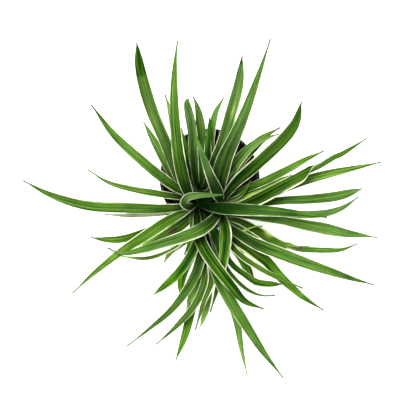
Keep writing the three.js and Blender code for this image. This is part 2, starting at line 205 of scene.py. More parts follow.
# The light from all round, the floor's own glow, and the lamps as (name, place, width, power, colour).
# Places and widths are in metres.
WORLD_LIGHT = 0.3
FLOOR_GLOW = 0.6
LAMP_AIM = (0, -0.03, 0.12)
LAMPS = [
    ("key", (-0.4, 0.45, 1.9), 0.8, 70, (1.0, 0.99, 0.96)),
    ("fill", (0.9, -0.7, 1.3), 1.2, 12, (0.98, 0.99, 1.0)),
]
FLOOR_SIZE = 8000

# A leaf is as this one, apart from what the tables below say of it.
# - `width` is across it at the share `widest` of its length, and `root` the share of that at the crown.
#   `taper` is 1 for a fine tip and 3 or more for a blunt one.
# - `tone` runs from 0, a deep green, to 1, a bright yellow green, and `light` scales its brightness:
#   painted light and shade for how lit or shaded the leaf lies among the others.
# - `heart` is how dark it is painted at its crown, as shade among the crowns, and `heart_reach` how far
#   that goes, in mm.
# - `bloom` is the share of its painted sheen towards the tip, a pale grey green that stands in for the
#   lamps' reflection.
# - `margins` are its cream margins' widths in mm, left and right, seen from above with the tip ahead.
#   They fade until `edged_to`, a share of the length.
# - `brown_tip` is how much of the tip has dried, in mm, and `deep_tip` how much of it is painted a deeper
#   green, as shade.
# - `brown` and `pale` list spots as (share of length, reach in mm, where across it from -1 to 1).
# - `turns` lists how far it is turned about its midrib, as (share of length, degrees). More than 0 raises
#   its right-hand edge.
# - `route` is its midrib, from its shoulder just outside the crown to its tip.
PLAIN_LEAF = dict(widest=0.42, taper=2.0, root=0.5, tone=0.45, light=1.0, heart=0.6, heart_reach=75,
                  bloom=0.0, margins=(0.5, 0.5), edged_to=0.95, brown_tip=1.5, deep_tip=-10,
                  brown=[], pale=[], turns=[(0, 0), (1, 0)])


def grown(route, **differences):
    """A leaf along this route, plain apart from these differences."""
    return {**PLAIN_LEAF, "route": route, **differences}


# The left-hand rosette, with the leaf that curls back over the crowns.
LEFT_LEAVES = dict(
    long_right=grown(
        [(-8, -33, 125), (6, -35, 152), (34, -37, 182), (67, -39, 194), (99, -42, 190), (133, -46, 176)],
        width=14, taper=1.9, root=0.25, tone=0.22, light=1.05, heart=1, heart_reach=150, bloom=0.15,
        margins=(0.2, 0.5), edged_to=1.3),
    curled_back=grown(
        [(-24, -34, 142), (-29, -29, 168), (-24, -23, 180), (-11, -21, 180), (3, -21, 172), (16, -20, 162)],
        width=10, tone=0.85, light=0.7, heart=0.4, bloom=1, margins=(0.8, 0.6)),
    far_up_left=grown(
        [(-26, -19, 138), (-46, -7, 165), (-80, 21, 178), (-108, 47, 166), (-138, 85, 138)],
        width=11.5, widest=0.4, taper=2.3, tone=0.5, light=0.8, bloom=0.2, brown_tip=12),
    slim_left=grown(
        [(-30, -24, 124), (-52, -20, 138), (-87, -14, 138), (-120, -5, 120), (-147, 11, 98)],
        width=8.5, taper=1.4, tone=0.6, light=0.7),
    long_left=grown(
        [(-30, -34, 132), (-57, -36, 158), (-96, -35, 170), (-137, -33, 158), (-185, -21, 122),
         (-227, -2, 88)],
        width=12.5, tone=0.5, light=0.75, heart=0.2, bloom=0.2, margins=(0.4, 0.9), brown_tip=8),
    pale_under_left=grown(
        [(-34, -38, 116), (-69, -42, 138), (-95, -44, 140), (-123, -43, 128)],
        width=7.5, tone=0.8, light=1.8, heart=0.2, margins=(3.4, 3.4), edged_to=1.3, pale=[(0.3, 60, 0)]),
    bright_down_left=grown(
        [(-29, -40, 130), (-47, -50, 155), (-70, -65, 166), (-99, -84, 160), (-132, -109, 138),
         (-165, -138, 104)],
        width=13.5, widest=0.36, taper=1.22, root=0.35, tone=0.65, light=0.9, heart=0.1,
        margins=(0.9, 0.8)),
    shaded_down_left=grown(
        [(-28, -45, 116), (-44, -56, 130), (-59, -66, 136), (-83, -80, 132)],
        width=8, taper=3, tone=0.95, light=2.05, heart=0.3),
    browned_down_left=grown(
        [(-24, -49, 112), (-37, -59, 122), (-58, -71, 126), (-83, -83, 112)],
        width=12, widest=0.5, taper=3, root=0.4, tone=0.6, light=2.35, heart=0.4, brown=[(0.5, 6, 0.2)]),
    low_left=grown(
        [(-34, -46, 112), (-70, -62, 130), (-103, -72, 124), (-125, -73, 112), (-143, -71, 98)],
        width=10, taper=3, tone=0.5, light=0.85, heart=0.3, margins=(0.9, 0.6)),
    thread_left=grown(
        [(-19, -52, 111), (-23, -65, 119), (-34, -77, 123), (-44, -84, 122), (-73, -95, 112),
         (-107, -94, 94)], width=5, taper=4, tone=0.6, margins=(1.3, 1.1)),
    stub_left=grown(
        [(-19, -54, 111), (-23, -68, 113), (-34, -78, 113), (-45, -86, 108), (-55, -101, 92)],
        width=8.5, taper=3, tone=0.95, light=1.8, margins=(1.2, 0.8)),
    dark_down=grown(
        [(-19, -43, 113), (-19, -58, 118), (-23, -77, 121), (-30, -91, 112)],
        width=9.5, tone=0.9, light=1.35),
    over_down_right=grown(
        [(-15, -45, 122), (-11, -72, 150), (0, -92, 164), (12, -108, 170), (26, -126, 166), (40, -142, 156),
         (63, -153, 140)], width=14, taper=2.2, tone=0.28, light=0.85, heart=1, margins=(0.5, 0.9)),
    blunt_top=grown(
        [(-26, -20, 135), (-37, 3, 162), (-49, 37, 188), (-64, 73, 197), (-77, 117, 184), (-83, 153, 165)],
        width=13.5, widest=0.55, taper=4.5, tone=0.55, light=0.55, heart=1, heart_reach=110, bloom=0.4,
        margins=(0.5, 0.8), brown_tip=5, deep_tip=50),
    tall_top=grown(
        [(-23, -21, 140), (-30, -1, 172), (-35, 27, 196), (-38, 61, 208), (-39, 96, 208), (-38, 129, 196),
         (-36, 152, 184)],
        width=14.5, widest=0.36, taper=1.7, tone=0.4, light=0.75, bloom=0.1, margins=(0.6, 0.8),
        brown_tip=4),
    short_top_left=grown(
        [(-29, -16, 122), (-45, 6, 136), (-57, 29, 144), (-77, 65, 138)],
        width=10.5, widest=0.5, taper=3, root=0.35, tone=0.55, light=0.95, bloom=0.6),
    hidden_top=grown(
        [(-27, -12, 126), (-38, 32, 150), (-45, 74, 156), (-51, 95, 152)],
        width=7.5, widest=0.6, taper=3, tone=0.7, light=0.7, brown_tip=7),
    olive_left=grown(
        [(-28, -29, 112), (-36, -25, 118), (-47, -18, 116)], width=4),
    young_right=grown(
        [(-8, -30, 103), (-3, -28, 107), (3, -25, 110)],
        width=9.5, tone=0, light=0.5, heart=1, margins=(0.2, 0.2)),
    young_left=grown(
        [(-22, -26, 106), (-26, -19, 116), (-25, -9, 122)],
        width=8.5, tone=0.3, light=1.4, heart=0.2, margins=(0.2, 0.2)),
)

# The rosette whose leaves point up in the picture.
UPPER_LEAVES = dict(
    dark_inner=grown(
        [(-13, -7, 116), (-14, 7, 130), (-13, 23, 138), (-6, 54, 138)],
        width=15.5, widest=0.32, taper=1.5, tone=0, light=4, margins=(0.2, 0.2)),
    dark_outer=grown(
        [(-16, -10, 112), (-21, 9, 126), (-26, 29, 136), (-33, 58, 136)],
        width=10.5, widest=0.45, taper=1.7, tone=0.55, light=1.5, heart=0.3, margins=(0.2, 0.4)),
    hooked_top=grown(
        [(-15, -6, 122), (-18, 20, 142), (-20, 54, 158), (-24, 75, 160), (-26, 88, 152), (-24, 91, 147)],
        width=11, widest=0.5, taper=6, light=1.2, heart=1, bloom=0.6, margins=(0.5, 0.9)),
    middle_top=grown(
        [(-10, -2, 118), (-11, 23, 134), (-10, 44, 142), (-11, 64, 146), (-14, 81, 142), (-19, 95, 132)],
        width=14.5, tone=0.65, light=0.6, bloom=0.5, brown_tip=9),
    pale_edge_top=grown(
        [(-7, -6, 116), (-2, 15, 134), (-2, 34, 142), (-1, 53, 144), (0, 70, 138)],
        width=10, tone=0.25, light=1.4, margins=(1.1, 0.8), brown_tip=3),
    thin_browned_top=grown(
        [(-5, -7, 112), (0, 21, 124), (2, 50, 130), (7, 76, 128), (17, 96, 118)],
        width=9, widest=0.48, taper=2.8, tone=0.6, light=1.2, bloom=0.6, brown_tip=12),
    streaked_top=grown(
        [(-4, -9, 120), (4, 15, 140), (15, 40, 155), (24, 71, 164), (33, 105, 160), (38, 142, 142)],
        width=13.5, widest=0.53, taper=3, tone=0.5, light=0.8, bloom=0.6, margins=(0.6, 1.2), brown_tip=12,
        deep_tip=16, pale=[(0.64, 9, 0.7)]),
    olive_top=grown(
        [(-3, -8, 112), (3, 23, 128), (9, 38, 134), (15, 55, 136)], width=4.5),
    young_up=grown(
        [(-3, -17, 104), (2, -18, 109), (5, -16, 112)],
        width=9, tone=0.8, light=2, heart=0.2, margins=(0.3, 0.3)),
)

# The rosette whose leaves point up and to the right.
RIGHT_LEAVES = dict(
    leaning_back=grown(
        [(11, -22, 120), (6, -10, 143), (0, 3, 162), (-6, 19, 172), (-12, 36, 175), (-18, 54, 171)],
        width=14.5, widest=0.3, taper=1.4, tone=0.4, light=1.05, heart=0.1, bloom=0.6, margins=(1, 0.7)),
    tall_right=grown(
        [(12, -16, 116), (12, -1, 135), (17, 20, 160), (28, 44, 186), (41, 75, 200), (55, 114, 192),
         (69, 156, 172)],
        width=19.5, widest=0.28, taper=1.1, light=0.7, heart=0.2, bloom=0.5, margins=(0.5, 0.7),
        brown_tip=10),
    broad_up_right=grown(
        [(18, -14, 114), (24, 6, 132), (35, 22, 152), (49, 36, 160), (63, 44, 152), (81, 51, 138)],
        width=13.5, widest=0.35, taper=1.8, tone=0.8, light=1.1, bloom=0.7),
    browned_up_right=grown(
        [(20, -12, 114), (35, 20, 128), (56, 43, 132), (84, 60, 122)],
        width=8.5, taper=3, tone=0.7, light=0.8, brown_tip=12),
    edge_on_up_right=grown(
        [(18, -12, 118), (29, 5, 134), (43, 22, 142), (56, 35, 142), (67, 45, 134)],
        width=7, light=3.5, margins=(2.4, 2.4)),
    curved_up_right=grown(
        [(20, -19, 122), (31, -5, 142), (47, 9, 160), (63, 23, 172), (81, 40, 174), (97, 60, 164),
         (107, 88, 142)],
        width=14.5, widest=0.45, taper=3.2, tone=0.4, light=0.6, bloom=0.1, margins=(1.2, 0.5)),
    browned_right=grown(
        [(24, -23, 114), (43, -13, 130), (64, -4, 142), (88, 8, 144), (112, 21, 138), (135, 32, 124)],
        width=9.5, taper=2.6, tone=0.6, light=0.95, brown_tip=10),
    bright_right=grown(
        [(23, -27, 108), (40, -21, 120), (58, -13, 129), (77, -5, 130), (98, 4, 123)],
        width=10.5, tone=1, light=2.9, heart=0.5, margins=(1.3, 1.3), pale=[(0.5, 60, 0)]),
    thin_right=grown(
        [(24, -26, 116), (34, -22, 126), (43, -13, 138), (48, -3, 142)], width=4.5, tone=0.9, light=1.3),
)

# The rosette whose leaves point right and down.
LOWER_RIGHT_LEAVES = dict(
    twisted_right=grown(
        [(17, -38, 112), (36, -34, 126), (59, -24, 144), (87, -9, 156), (109, 2, 158), (125, 9, 156),
         (139, 17, 151), (160, 30, 138), (186, 47, 122)],
        width=14.5, widest=0.3, taper=2.2, light=0.7, margins=(0.5, 1.6),
        turns=[(0, 0), (0.52, 0), (0.65, 90), (0.85, 150), (1, 160)]),
    kinked_right=grown(
        [(20, -40, 107), (50, -28, 117), (83, -14, 128), (112, -3, 136), (137, 4, 136), (168, 11, 124),
         (207, 20, 104)], width=11, widest=0.55, taper=1.5, tone=0.6, light=0.8, heart=0.2, brown_tip=4),
    flat_right=grown(
        [(20, -41, 106), (48, -32, 116), (83, -27, 126), (118, -25, 126), (153, -21, 112), (185, -12, 92)],
        width=11.5, widest=0.7, taper=3, light=0.95, bloom=0.4, brown_tip=8),
    rising_right=grown(
        [(22, -43, 106), (60, -42, 120), (104, -43, 126), (123, -43, 126), (140, -41, 121), (159, -35, 110),
         (180, -22, 96)], width=9.5, widest=0.5, taper=2.4, tone=0.65, light=0.85, bloom=0.6, brown_tip=5),
    level_right=grown(
        [(22, -44, 110), (52, -47, 130), (85, -50, 142), (111, -55, 140), (132, -59, 134), (161, -65, 118),
         (203, -71, 94)],
        width=13.5, widest=0.64, taper=1.3, root=0.15, tone=0.5, light=1.1, bloom=0.4, brown_tip=6),
    yellowed_right=grown(
        [(21, -47, 108), (38, -52, 120), (59, -64, 130), (80, -77, 134), (103, -86, 128), (132, -88, 112),
         (159, -87, 96), (181, -79, 84)],
        width=12, widest=0.36, taper=2.8, tone=0.5, light=0.9, heart=0.3, margins=(1.2, 1),
        brown=[(0.56, 3, 0.8)], pale=[(0.35, 5, -0.7), (0.5, 4, 0)],
        turns=[(0, 0), (0.42, 0), (0.53, 90), (0.7, 135), (1, 150)]),
    sliver_right=grown(
        [(21, -49, 109), (34, -55, 116), (48, -63, 118), (69, -74, 112)],
        width=10.5, tone=0.5, light=3.9, margins=(0.3, 0.3)),
    curled_thread=grown(
        [(17, -49, 110), (22, -53, 122), (29, -60, 134), (37, -63, 140), (44, -60, 140), (53, -57, 138),
         (62, -57, 132)], width=3.5, tone=1, light=1.3, margins=(1.1, 1.1), pale=[(0.5, 40, 0)]),
    long_down_right=grown(
        [(16, -52, 118), (30, -63, 138), (52, -76, 154), (80, -87, 162), (109, -98, 158), (143, -110, 140),
         (169, -119, 122), (198, -128, 100)],
        width=14.5, widest=0.4, taper=1.6, heart=1, heart_reach=110, bloom=0.3, margins=(0.8, 0.8),
        brown_tip=6),
    steep_down_right=grown(
        [(16, -57, 112), (28, -71, 117), (47, -84, 122), (66, -98, 124), (83, -116, 119), (108, -139, 104),
         (140, -161, 76)],
        width=14.5, widest=0.36, taper=1.5, root=0.35, light=1.15, heart=1, margins=(0.4, 1.5), deep_tip=45,
        pale=[(0.3, 16, 1)]),
    bright_down_right=grown(
        [(15, -56, 114), (25, -78, 124), (38, -92, 134), (56, -104, 140), (76, -115, 138),
         (110, -130, 126)], width=7.5, tone=0.65, light=0.75, margins=(0.9, 0.6)),
    blunt_down_right=grown(
        [(14, -57, 111), (26, -76, 114), (41, -100, 110), (55, -129, 92)],
        width=11, widest=0.55, taper=3, light=1.35),
    bent_down_right=grown(
        [(14, -59, 112), (18, -87, 128), (27, -102, 132), (41, -113, 130), (56, -123, 122),
         (86, -127, 106)], width=7.5, widest=0.6, taper=7, brown_tip=4),
    thread_down_right=grown(
        [(13, -62, 114), (17, -100, 123), (31, -120, 118), (47, -134, 108), (63, -141, 96), (80, -142, 86)],
        width=5.5, tone=0.5, light=0.9),
    bright_down=grown(
        [(16, -48, 122), (19, -63, 136), (18, -84, 140), (15, -106, 131), (9, -132, 115), (1, -161, 94)],
        width=14, widest=0.35, taper=1.12, tone=0.52, light=1.1, heart=0.5, margins=(1.5, 0.4)),
    long_down_left=grown(
        [(8, -45, 132), (-1, -54, 156), (-12, -61, 172), (-30, -68, 182), (-52, -75, 184), (-75, -82, 178),
         (-100, -87, 168), (-117, -81, 160)],
        width=14.5, widest=0.4, taper=1.6, light=0.95, heart=1, heart_reach=100, bloom=0.4,
        margins=(1.2, 0.6), brown_tip=12),
)

# The rosette whose leaves point down.
LOWER_LEAVES = dict(
    long_down=grown(
        [(-6, -62, 114), (0, -87, 130), (9, -113, 143), (23, -141, 142), (42, -172, 126), (63, -206, 102),
         (91, -245, 70)],
        width=14, widest=0.4, taper=1.7, tone=0.5, light=0.9, heart=1, heart_reach=130, bloom=0.3,
        brown_tip=6),
    slim_down=grown(
        [(-5, -57, 113), (7, -94, 114), (22, -136, 108), (33, -173, 98), (39, -207, 82), (47, -244, 62)],
        width=10.5, tone=0.6, light=1.25, bloom=0.4),
    blunt_down_left=grown(
        [(-9, -57, 111), (-19, -86, 109), (-32, -115, 105), (-36, -141, 90)],
        width=11, widest=0.5, taper=4, tone=0.5, light=1.9),
    wide_down_left=grown(
        [(-11, -60, 130), (-16, -78, 140), (-26, -97, 145), (-38, -113, 142), (-51, -125, 134),
         (-66, -138, 122)], width=10.5, widest=0.5, taper=3.6, tone=0.4, light=1.35),
    arched_down_left=grown(
        [(-8, -64, 116), (-9, -87, 126), (-16, -112, 132), (-27, -132, 128), (-44, -155, 116),
         (-72, -181, 94), (-102, -206, 72)], width=12, widest=0.35, taper=1.2, light=0.8, bloom=0.4),
    shaded_down=grown(
        [(-6, -64, 113), (-3, -99, 121), (-7, -127, 122), (-18, -151, 116), (-37, -175, 98),
         (-66, -204, 70)], width=9.5, widest=0.45, taper=1.8, light=0.75, bloom=0.4, brown_tip=4),
    short_down=grown(
        [(-7, -57, 114), (-8, -97, 117), (-17, -131, 109), (-28, -159, 92)],
        width=12.5, widest=0.5, taper=4, tone=0.95, light=2),
    drooping_down=grown(
        [(-8, -56, 114), (-8, -77, 117), (-11, -119, 108), (-22, -159, 95), (-30, -191, 80),
         (-42, -225, 60)], width=11, widest=0.6, taper=2.4, tone=0.5, light=1.1, brown_tip=4),
    lime_down=grown(
        [(-4, -64, 116), (2, -99, 130), (2, -123, 133), (-7, -147, 124), (-17, -182, 100)],
        width=10.5, taper=1.3, tone=0.7, light=0.5, margins=(1.4, 1.2)),
    blunt_down=grown(
        [(-5, -57, 113), (-1, -86, 112), (1, -116, 104), (-1, -144, 93), (-5, -162, 85), (-11, -181, 76)],
        width=7.5, widest=0.72, taper=4, tone=0.9, light=1.6, bloom=0.7, margins=(0.4, 0.4)),
    young_low=grown(
        [(-2, -41, 104), (2, -39, 107), (6, -38, 108)],
        width=9.5, tone=0, light=0.2, heart=1, margins=(0.2, 0.2)),
    dark_filler=grown(
        [(-2, -54, 110), (8, -70, 109), (10, -98, 106)],
        width=12.5, tone=0.1, light=3.4, margins=(0.2, 0.2)),
)

# Where each rosette's crown stands, in x and y, and its leaves.
ROSETTES = {
    "rosette_left": ((-15.1, -31.8), LEFT_LEAVES),
    "rosette_upper": ((-7.8, -13.7), UPPER_LEAVES),
    "rosette_right": ((13.9, -29.4), RIGHT_LEAVES),
    "rosette_lower_right": ((10.5, -43.5), LOWER_RIGHT_LEAVES),
    "rosette_lower": ((-7, -44.5), LOWER_LEAVES),
}


def smooth_step(value, low, high):
    """0 below low, 1 above high, and smooth between them."""
    share = np.clip((value - low) / (high - low), 0, 1)
    return share * share * (3 - 2 * share)


def curve_through(points):
    """Close points along a smooth centripetal curve through the given ones."""
    points = np.array(points, float)
    ends = [2 * points[0] - points[1], 2 * points[-1] - points[-2]]
    points = np.vstack([ends[:1], points, ends[1:]])
    share = np.linspace(0, 1, CURVE_POINTS, endpoint=False)[:, None]
    spans = []
    for before, start, end, after in zip(points, points[1:], points[2:], points[3:]):
        steps = ((before, start), (start, end), (end, after))
        knots = [np.sqrt(np.linalg.norm(b - a)) for a, b in steps]
        leaving = (start - before) / knots[0] - (end - before) / (knots[0] + knots[1])
        leaving = leaving * knots[1] + (end - start)
        reaching = (after - end) / knots[2] - (after - start) / (knots[1] + knots[2])
        reaching = reaching * knots[1] + (end - start)
        square = -3 * start + 3 * end - 2 * leaving - reaching
        cube = 2 * start - 2 * end + leaving + reaching
        spans.append(start + leaving * share + square * share**2 + cube * share**3)
    return np.vstack([*spans, points[-2:-1]])


def evenly(points):
    """The same curve in even steps of about ROW_STEP, and the distance from its start."""
    gone = np.r_[0, np.cumsum(np.linalg.norm(np.diff(points, axis=0), axis=1))]
    along = np.linspace(0, gone[-1], max(FEWEST_ROWS, round(gone[-1] / ROW_STEP)) + 1)
    return np.stack([np.interp(along, gone, axis) for axis in points.T], axis=1), along


def unit(vectors):
    """The same directions, each of length 1."""
    return vectors / np.linalg.norm(vectors, axis=1)[:, None]


def breadth(share, leaf):
    """The share of the full width at each share of the length."""
    widest, root = leaf["widest"], leaf["root"]
    growing = root + (1 - root) * smooth_step(share, 0, widest)
    narrowing = 1 - np.clip((share - widest) / (1 - widest), 0, 1) ** leaf["taper"]
    return np.where(share < widest, growing, narrowing)


def fold(share):
    """How far the edges stand above the midrib, in halves of the width."""
    return FOLD + (FOLD_AT_ROOT - FOLD) * np.clip(1 - share / FOLD_REACH, 0, 1) ** 2


def turn(share, turns):
    """How far a blade is turned, in radians, from (share of length, degrees) pairs."""
    angle = np.zeros(len(share))
    for (start, low), (end, high) in zip(turns, turns[1:]):
        angle = np.where(share >= start, low + (high - low) * smooth_step(share, start, end), angle)
    return np.radians(angle)


def rolled(side, above, angle):
    """Turns a blade about its midrib."""
    cosine = np.cos(angle)[:, None]
    sine = np.sin(angle)[:, None]
    return side * cosine + above * sine, above * cosine - side * sine


def edge_wave(gone, number, edge):
    """Waves with ripples on them, from -1 to 1, which start elsewhere on each edge of each blade."""
    phase = number * 1.7 + edge * 2.3
    waves = np.sin(gone * math.tau / WAVE_LENGTH + phase)
    ripples = np.sin(gone / RIPPLE_SCALE + 3 * phase)
    return (1 - RIPPLE_SHARE) * waves + RIPPLE_SHARE * ripples


def cross_section(out, across, half, gone, share, number, folding):
    """The height of each corner over the midrib: a rounded fold, with pleats and waved edges."""
    rise = half * (fold(share) + folding)[:, None] * (np.sqrt(across**2 + GROOVE**2) - GROOVE)
    pleats = np.cos(out * math.tau / PLEAT_PITCH) * (1 - across**2)
    left, right = (edge_wave(gone, number, edge)[:, None] for edge in (0, 1))
    waves = np.where(across < 0, left, right) * across**2
    lift = smooth_step(share, *RELIEF_FROM_ROOT) * smooth_step(1 - share, *RELIEF_FROM_TIP)
    lift = lift[:, None] * np.clip(half / RELIEF_FULL_AT, 0, 1)
    return rise + lift * (PLEAT_DEPTH * pleats + WAVE_HEIGHT * waves)


def strip_faces(rows, columns, first):
    """The faces of one closed blade: its upper face, its lower face and the strips round them."""
    upper = first + np.arange(rows * columns).reshape(rows, columns)
    lower = upper + rows * columns

    def quads(a, b, c, d):
        return np.stack([part.ravel() for part in (a, b, c, d)], axis=1)

    near, far = slice(None, -1), slice(1, None)
    return np.vstack([
        quads(upper[near, near], upper[near, far], upper[far, far], upper[far, near]),
        quads(lower[near, near], lower[far, near], lower[far, far], lower[near, far]),
        quads(upper[near, -1], lower[near, -1], lower[far, -1], upper[far, -1]),
        quads(upper[near, 0], upper[far, 0], lower[far, 0], lower[near, 0]),
        quads(upper[0, near], lower[0, near], lower[0, far], upper[0, far]),
        quads(upper[-1, near], upper[-1, far], lower[-1, far], lower[-1, near]),
    ])


def spots(share, length, across, places):
    """How strongly each corner lies in one of the places, as (share of length, reach, side)."""
    strength = np.zeros((len(share), across.shape[1]))
    for middle, reach, side in places:
        along = np.exp(-(((share - middle) * length / reach) ** 2))[:, None]
        strength = np.maximum(strength, along * np.exp(-(((across - side) / SPOT_WIDTH) ** 2)))
    return strength


def marks(leaf, number, across, half, gone):
    """What a leaf's material reads at each corner of one of its faces."""
    length = gone[-1]
    share = gone / length
    out = across * half
    even = np.ones_like(out)
    opened = smooth_step(gone, *BASE_REACH)
    # The tip is painted a deeper green, as shade beyond its bend.
    deep_from = length - leaf["deep_tip"]
    deep = smooth_step(gone, deep_from, deep_from + TIP_DEEPENS)
    along = {
        "gone": gone,
        # Painted light and shade: the base is deeper in tone and dimmer, and the light rises towards the
        # tip.
        "tone": leaf["tone"] * (1 - TIP_DEEPER * deep) - BASE_DEEPER * (1 - opened),
        "light": leaf["light"] * (BASE_LIGHT + (TIP_LIGHT - BASE_LIGHT) * opened),
        "bloom": leaf["bloom"] * (BASE_SHEEN + (1 - BASE_SHEEN) * opened) * (1 - deep),
        # Painted shade: a deep green over the leaf's base, fading out along the blade.
        "shade": leaf["heart"] * (1 - smooth_step(gone, PAINTED_SHADE_START, leaf["heart_reach"])),
        "sheath": 1 - smooth_step(gone, *SHEATH_REACH),
    }
    fading = (1 - smooth_step(share, MARGIN_FADES, leaf["edged_to"]))[:, None]
    margins = np.where(across < 0, *leaf["margins"]) * fading
    dried_tip = smooth_step(gone, length - leaf["brown_tip"], length)[:, None]
    return {
        **{name: values[:, None] * even for name, values in along.items()},
        "out": out,
        "seed": number * SEED_STEP * even,
        "inside": half - np.abs(out) - margins + (1 - fading),
        "brown": np.maximum(spots(share, length, across, leaf["brown"]), dried_tip),
        "pale": spots(share, length, across, leaf["pale"]),
    }


def midrib_of(leaf, crown):
    """The middle line of a leaf, in rows from its crown to its tip, and each row's distance along it."""
    route = np.array(leaf["route"], float)
    start = np.array([*crown, CROWN_TOP], float)
    outward = (route[0] - start) * (1, 1, 0)
    start = start + outward / np.linalg.norm(outward) * ROOT_OFFSET
    return evenly(curve_through([start, *route]))


def blade(leaf, crown, number, first):
    """One leaf: its corners, its faces, and what its material reads at each corner."""
    midrib, gone = midrib_of(leaf, crown)
    share = gone / gone[-1]
    along = unit(np.gradient(midrib, axis=0))
    side = unit(np.cross(along, (0, 0, 1)))
    angle = turn(share, leaf["turns"])
    side, above = rolled(side, np.cross(side, along), angle)

    half = np.maximum(leaf["width"] * breadth(share, leaf), TIP_WIDTH)[:, None] / 2
    across = np.array(COLUMNS)[None, :]
    out = across * half
    rise = cross_section(out, across, half, gone, share, number, TWIST_FOLD * np.sin(angle) ** 2)
    keel = np.exp(-((out / KEEL_REACH) ** 2))
    thick = THICK_EDGE + (THICK_MIDRIB - THICK_EDGE) * keel
    thick = thick * np.clip(half / THICK_FULL_AT, THINNEST, 1)
    middle = midrib[:, None, :] + side[:, None, :] * out[:, :, None]
    heights = [rise + part * thick for part in (0.5, -0.5)]
    corners = [(middle + above[:, None, :] * height[:, :, None]).reshape(-1, 3) for height in heights]

    read = marks(leaf, number, across, half, gone)
    read = {name: np.tile(values.ravel(), 2) for name, values in read.items()}
    read["under"] = np.repeat([0.0, 1.0], out.size)
    return np.vstack(corners), strip_faces(*out.shape, first), read


def shown(name, data):
    """A new object in the scene, which shows this mesh, lamp or camera."""
    thing = bpy.data.objects.new(name, data)
    bpy.context.scene.collection.objects.link(thing)
    return thing


def mesh_of(name, corners, faces):
    """A mesh object from corners in millimetres."""
    mesh = bpy.data.meshes.new(name)
    mesh.from_pydata((np.array(corners) * MM).tolist(), [], faces)
    return shown(name, mesh)


def give(mesh, name, values):
    """Stores one number for each corner, which a material reads by this name."""
    attribute = mesh.attributes.new(name, "FLOAT", "POINT")
    attribute.data.foreach_set("value", np.asarray(values, np.float32))


def smooth(thing, sharp_over):
    """Smooth shading, with an edge kept wherever two faces meet at more than this angle in degrees."""
    thing.data.shade_smooth()
    thing.data.set_sharp_from_angle(angle=math.radians(sharp_over))


def rosette_leaves(name, place, leaves, number):
    """All the leaves of one rosette, as one piece."""
    corners, faces, read, first = [], [], [], 0
    for leaf in leaves.values():
        number += 1
        points, quads, values = blade(leaf, place, number, first)
        corners.append(points)
        faces.append(quads)
        read.append(values)
        first += len(points)
    piece = mesh_of(name + "_leaves", np.vstack(corners), np.vstack(faces).tolist())
    for key in read[0]:
        give(piece.data, key, np.concatenate([values[key] for values in read]))
    smooth(piece, sharp_over=50)
    return piece


def plug(made, sockets):
    """Gives sockets of a node a value each, or links another node's output to them."""
    for name, value in sockets.items():
        if isinstance(value, bpy.types.NodeSocket):
            made.id_data.links.new(value, made.inputs[name])
        else:
            made.inputs[name].default_value = value


def node(tree, kind, sockets, **settings):
    """Adds a node, and says what goes into its sockets."""
    made = tree.nodes.new("ShaderNode" + kind)
    for name, value in settings.items():
        setattr(made, name, value)
    plug(made, sockets)
    return made


def new_material(name, roughness, specular):
    """A new material, its nodes, and the shader that its other nodes lead to."""
    material = bpy.data.materials.new(name)
    material.use_nodes = True
    surface = material.node_tree.nodes["Principled BSDF"]
    plug(surface, {"Roughness": roughness, "Specular IOR Level": specular})
    return material, material.node_tree, surface


def colour(red, green, blue):
    """A colour given as it looks on a screen, from 0 to 255, as a shader's linear one."""
    parts = [part / 255 for part in (red, green, blue)]
    linear = [((part + 0.055) / 1.055) ** 2.4 if part > 0.04 else part / 12.92 for part in parts]
    return (*linear, 1.0)


def read_value(tree, name):
    """The number stored for each corner under this name."""
    return node(tree, "Attribute", {}, attribute_name=name).outputs["Fac"]


def maths(tree, operation, first, second=0.0):
    """One sum of two values, each a number or another node's output."""
    return node(tree, "Math", {0: first, 1: second}, operation=operation).outputs[0]


def scaled(tree, value, times):
    """A value times another one."""
    return maths(tree, "MULTIPLY", value, times)


def centred(tree, pattern, strength):
    """A pattern that runs from 0 to 1, as one about 0 that is this strong."""
    return scaled(tree, maths(tree, "SUBTRACT", pattern, 0.5), strength)


def between(tree, value, low, high):
    """0 below low, 1 above high, and smooth between them."""
    made = node(tree, "MapRange", {"Value": value, "From Min": low, "From Max": high},
                interpolation_type="SMOOTHSTEP")
    return made.outputs["Result"]


def mixed(tree, share, first, second, blend="MIX"):
    """The first colour, with this share of the second one."""
    made = node(tree, "Mix", {0: share, 6: first, 7: second}, data_type="RGBA", blend_type=blend)
    return made.outputs[2]


def dimmed(tree, base, share):
    """A colour times a number."""
    grey = node(tree, "CombineXYZ", dict.fromkeys("XYZ", share))
    return mixed(tree, 1.0, base, grey.outputs[0], "MULTIPLY")


def own_place(tree):
    """Where each point of a piece is, in metres."""
    return node(tree, "TexCoord", {}).outputs["Object"]


def cloud(tree, scale, detail=2.0, roughness=0.5, where=None):
    """A soft random pattern from 0 to 1."""
    made = node(tree, "TexNoise", {"Vector": where or own_place(tree), "Scale": scale, "Detail": detail,
                                   "Roughness": roughness})
    return made.outputs[0]


def bumped(tree, surface, height, strength, distance):
    """Small relief, at most this many metres high."""
    bump = node(tree, "Bump", {"Height": height, "Strength": strength, "Distance": distance})
    plug(surface, {"Normal": bump.outputs["Normal"]})


def leaf_patterns(tree):
    """The patterns of LEAF_PATTERNS, which are drawn out along the blade."""
    out, gone, seed = (read_value(tree, name) for name in ("out", "gone", "seed"))
    patterns = {}
    for name, (across, along, detail) in LEAF_PATTERNS.items():
        place = {"X": scaled(tree, out, across), "Y": scaled(tree, gone, along), "Z": seed}
        where = node(tree, "CombineXYZ", place)
        patterns[name] = cloud(tree, 1.0, detail, where=where.outputs[0])
    return patterns


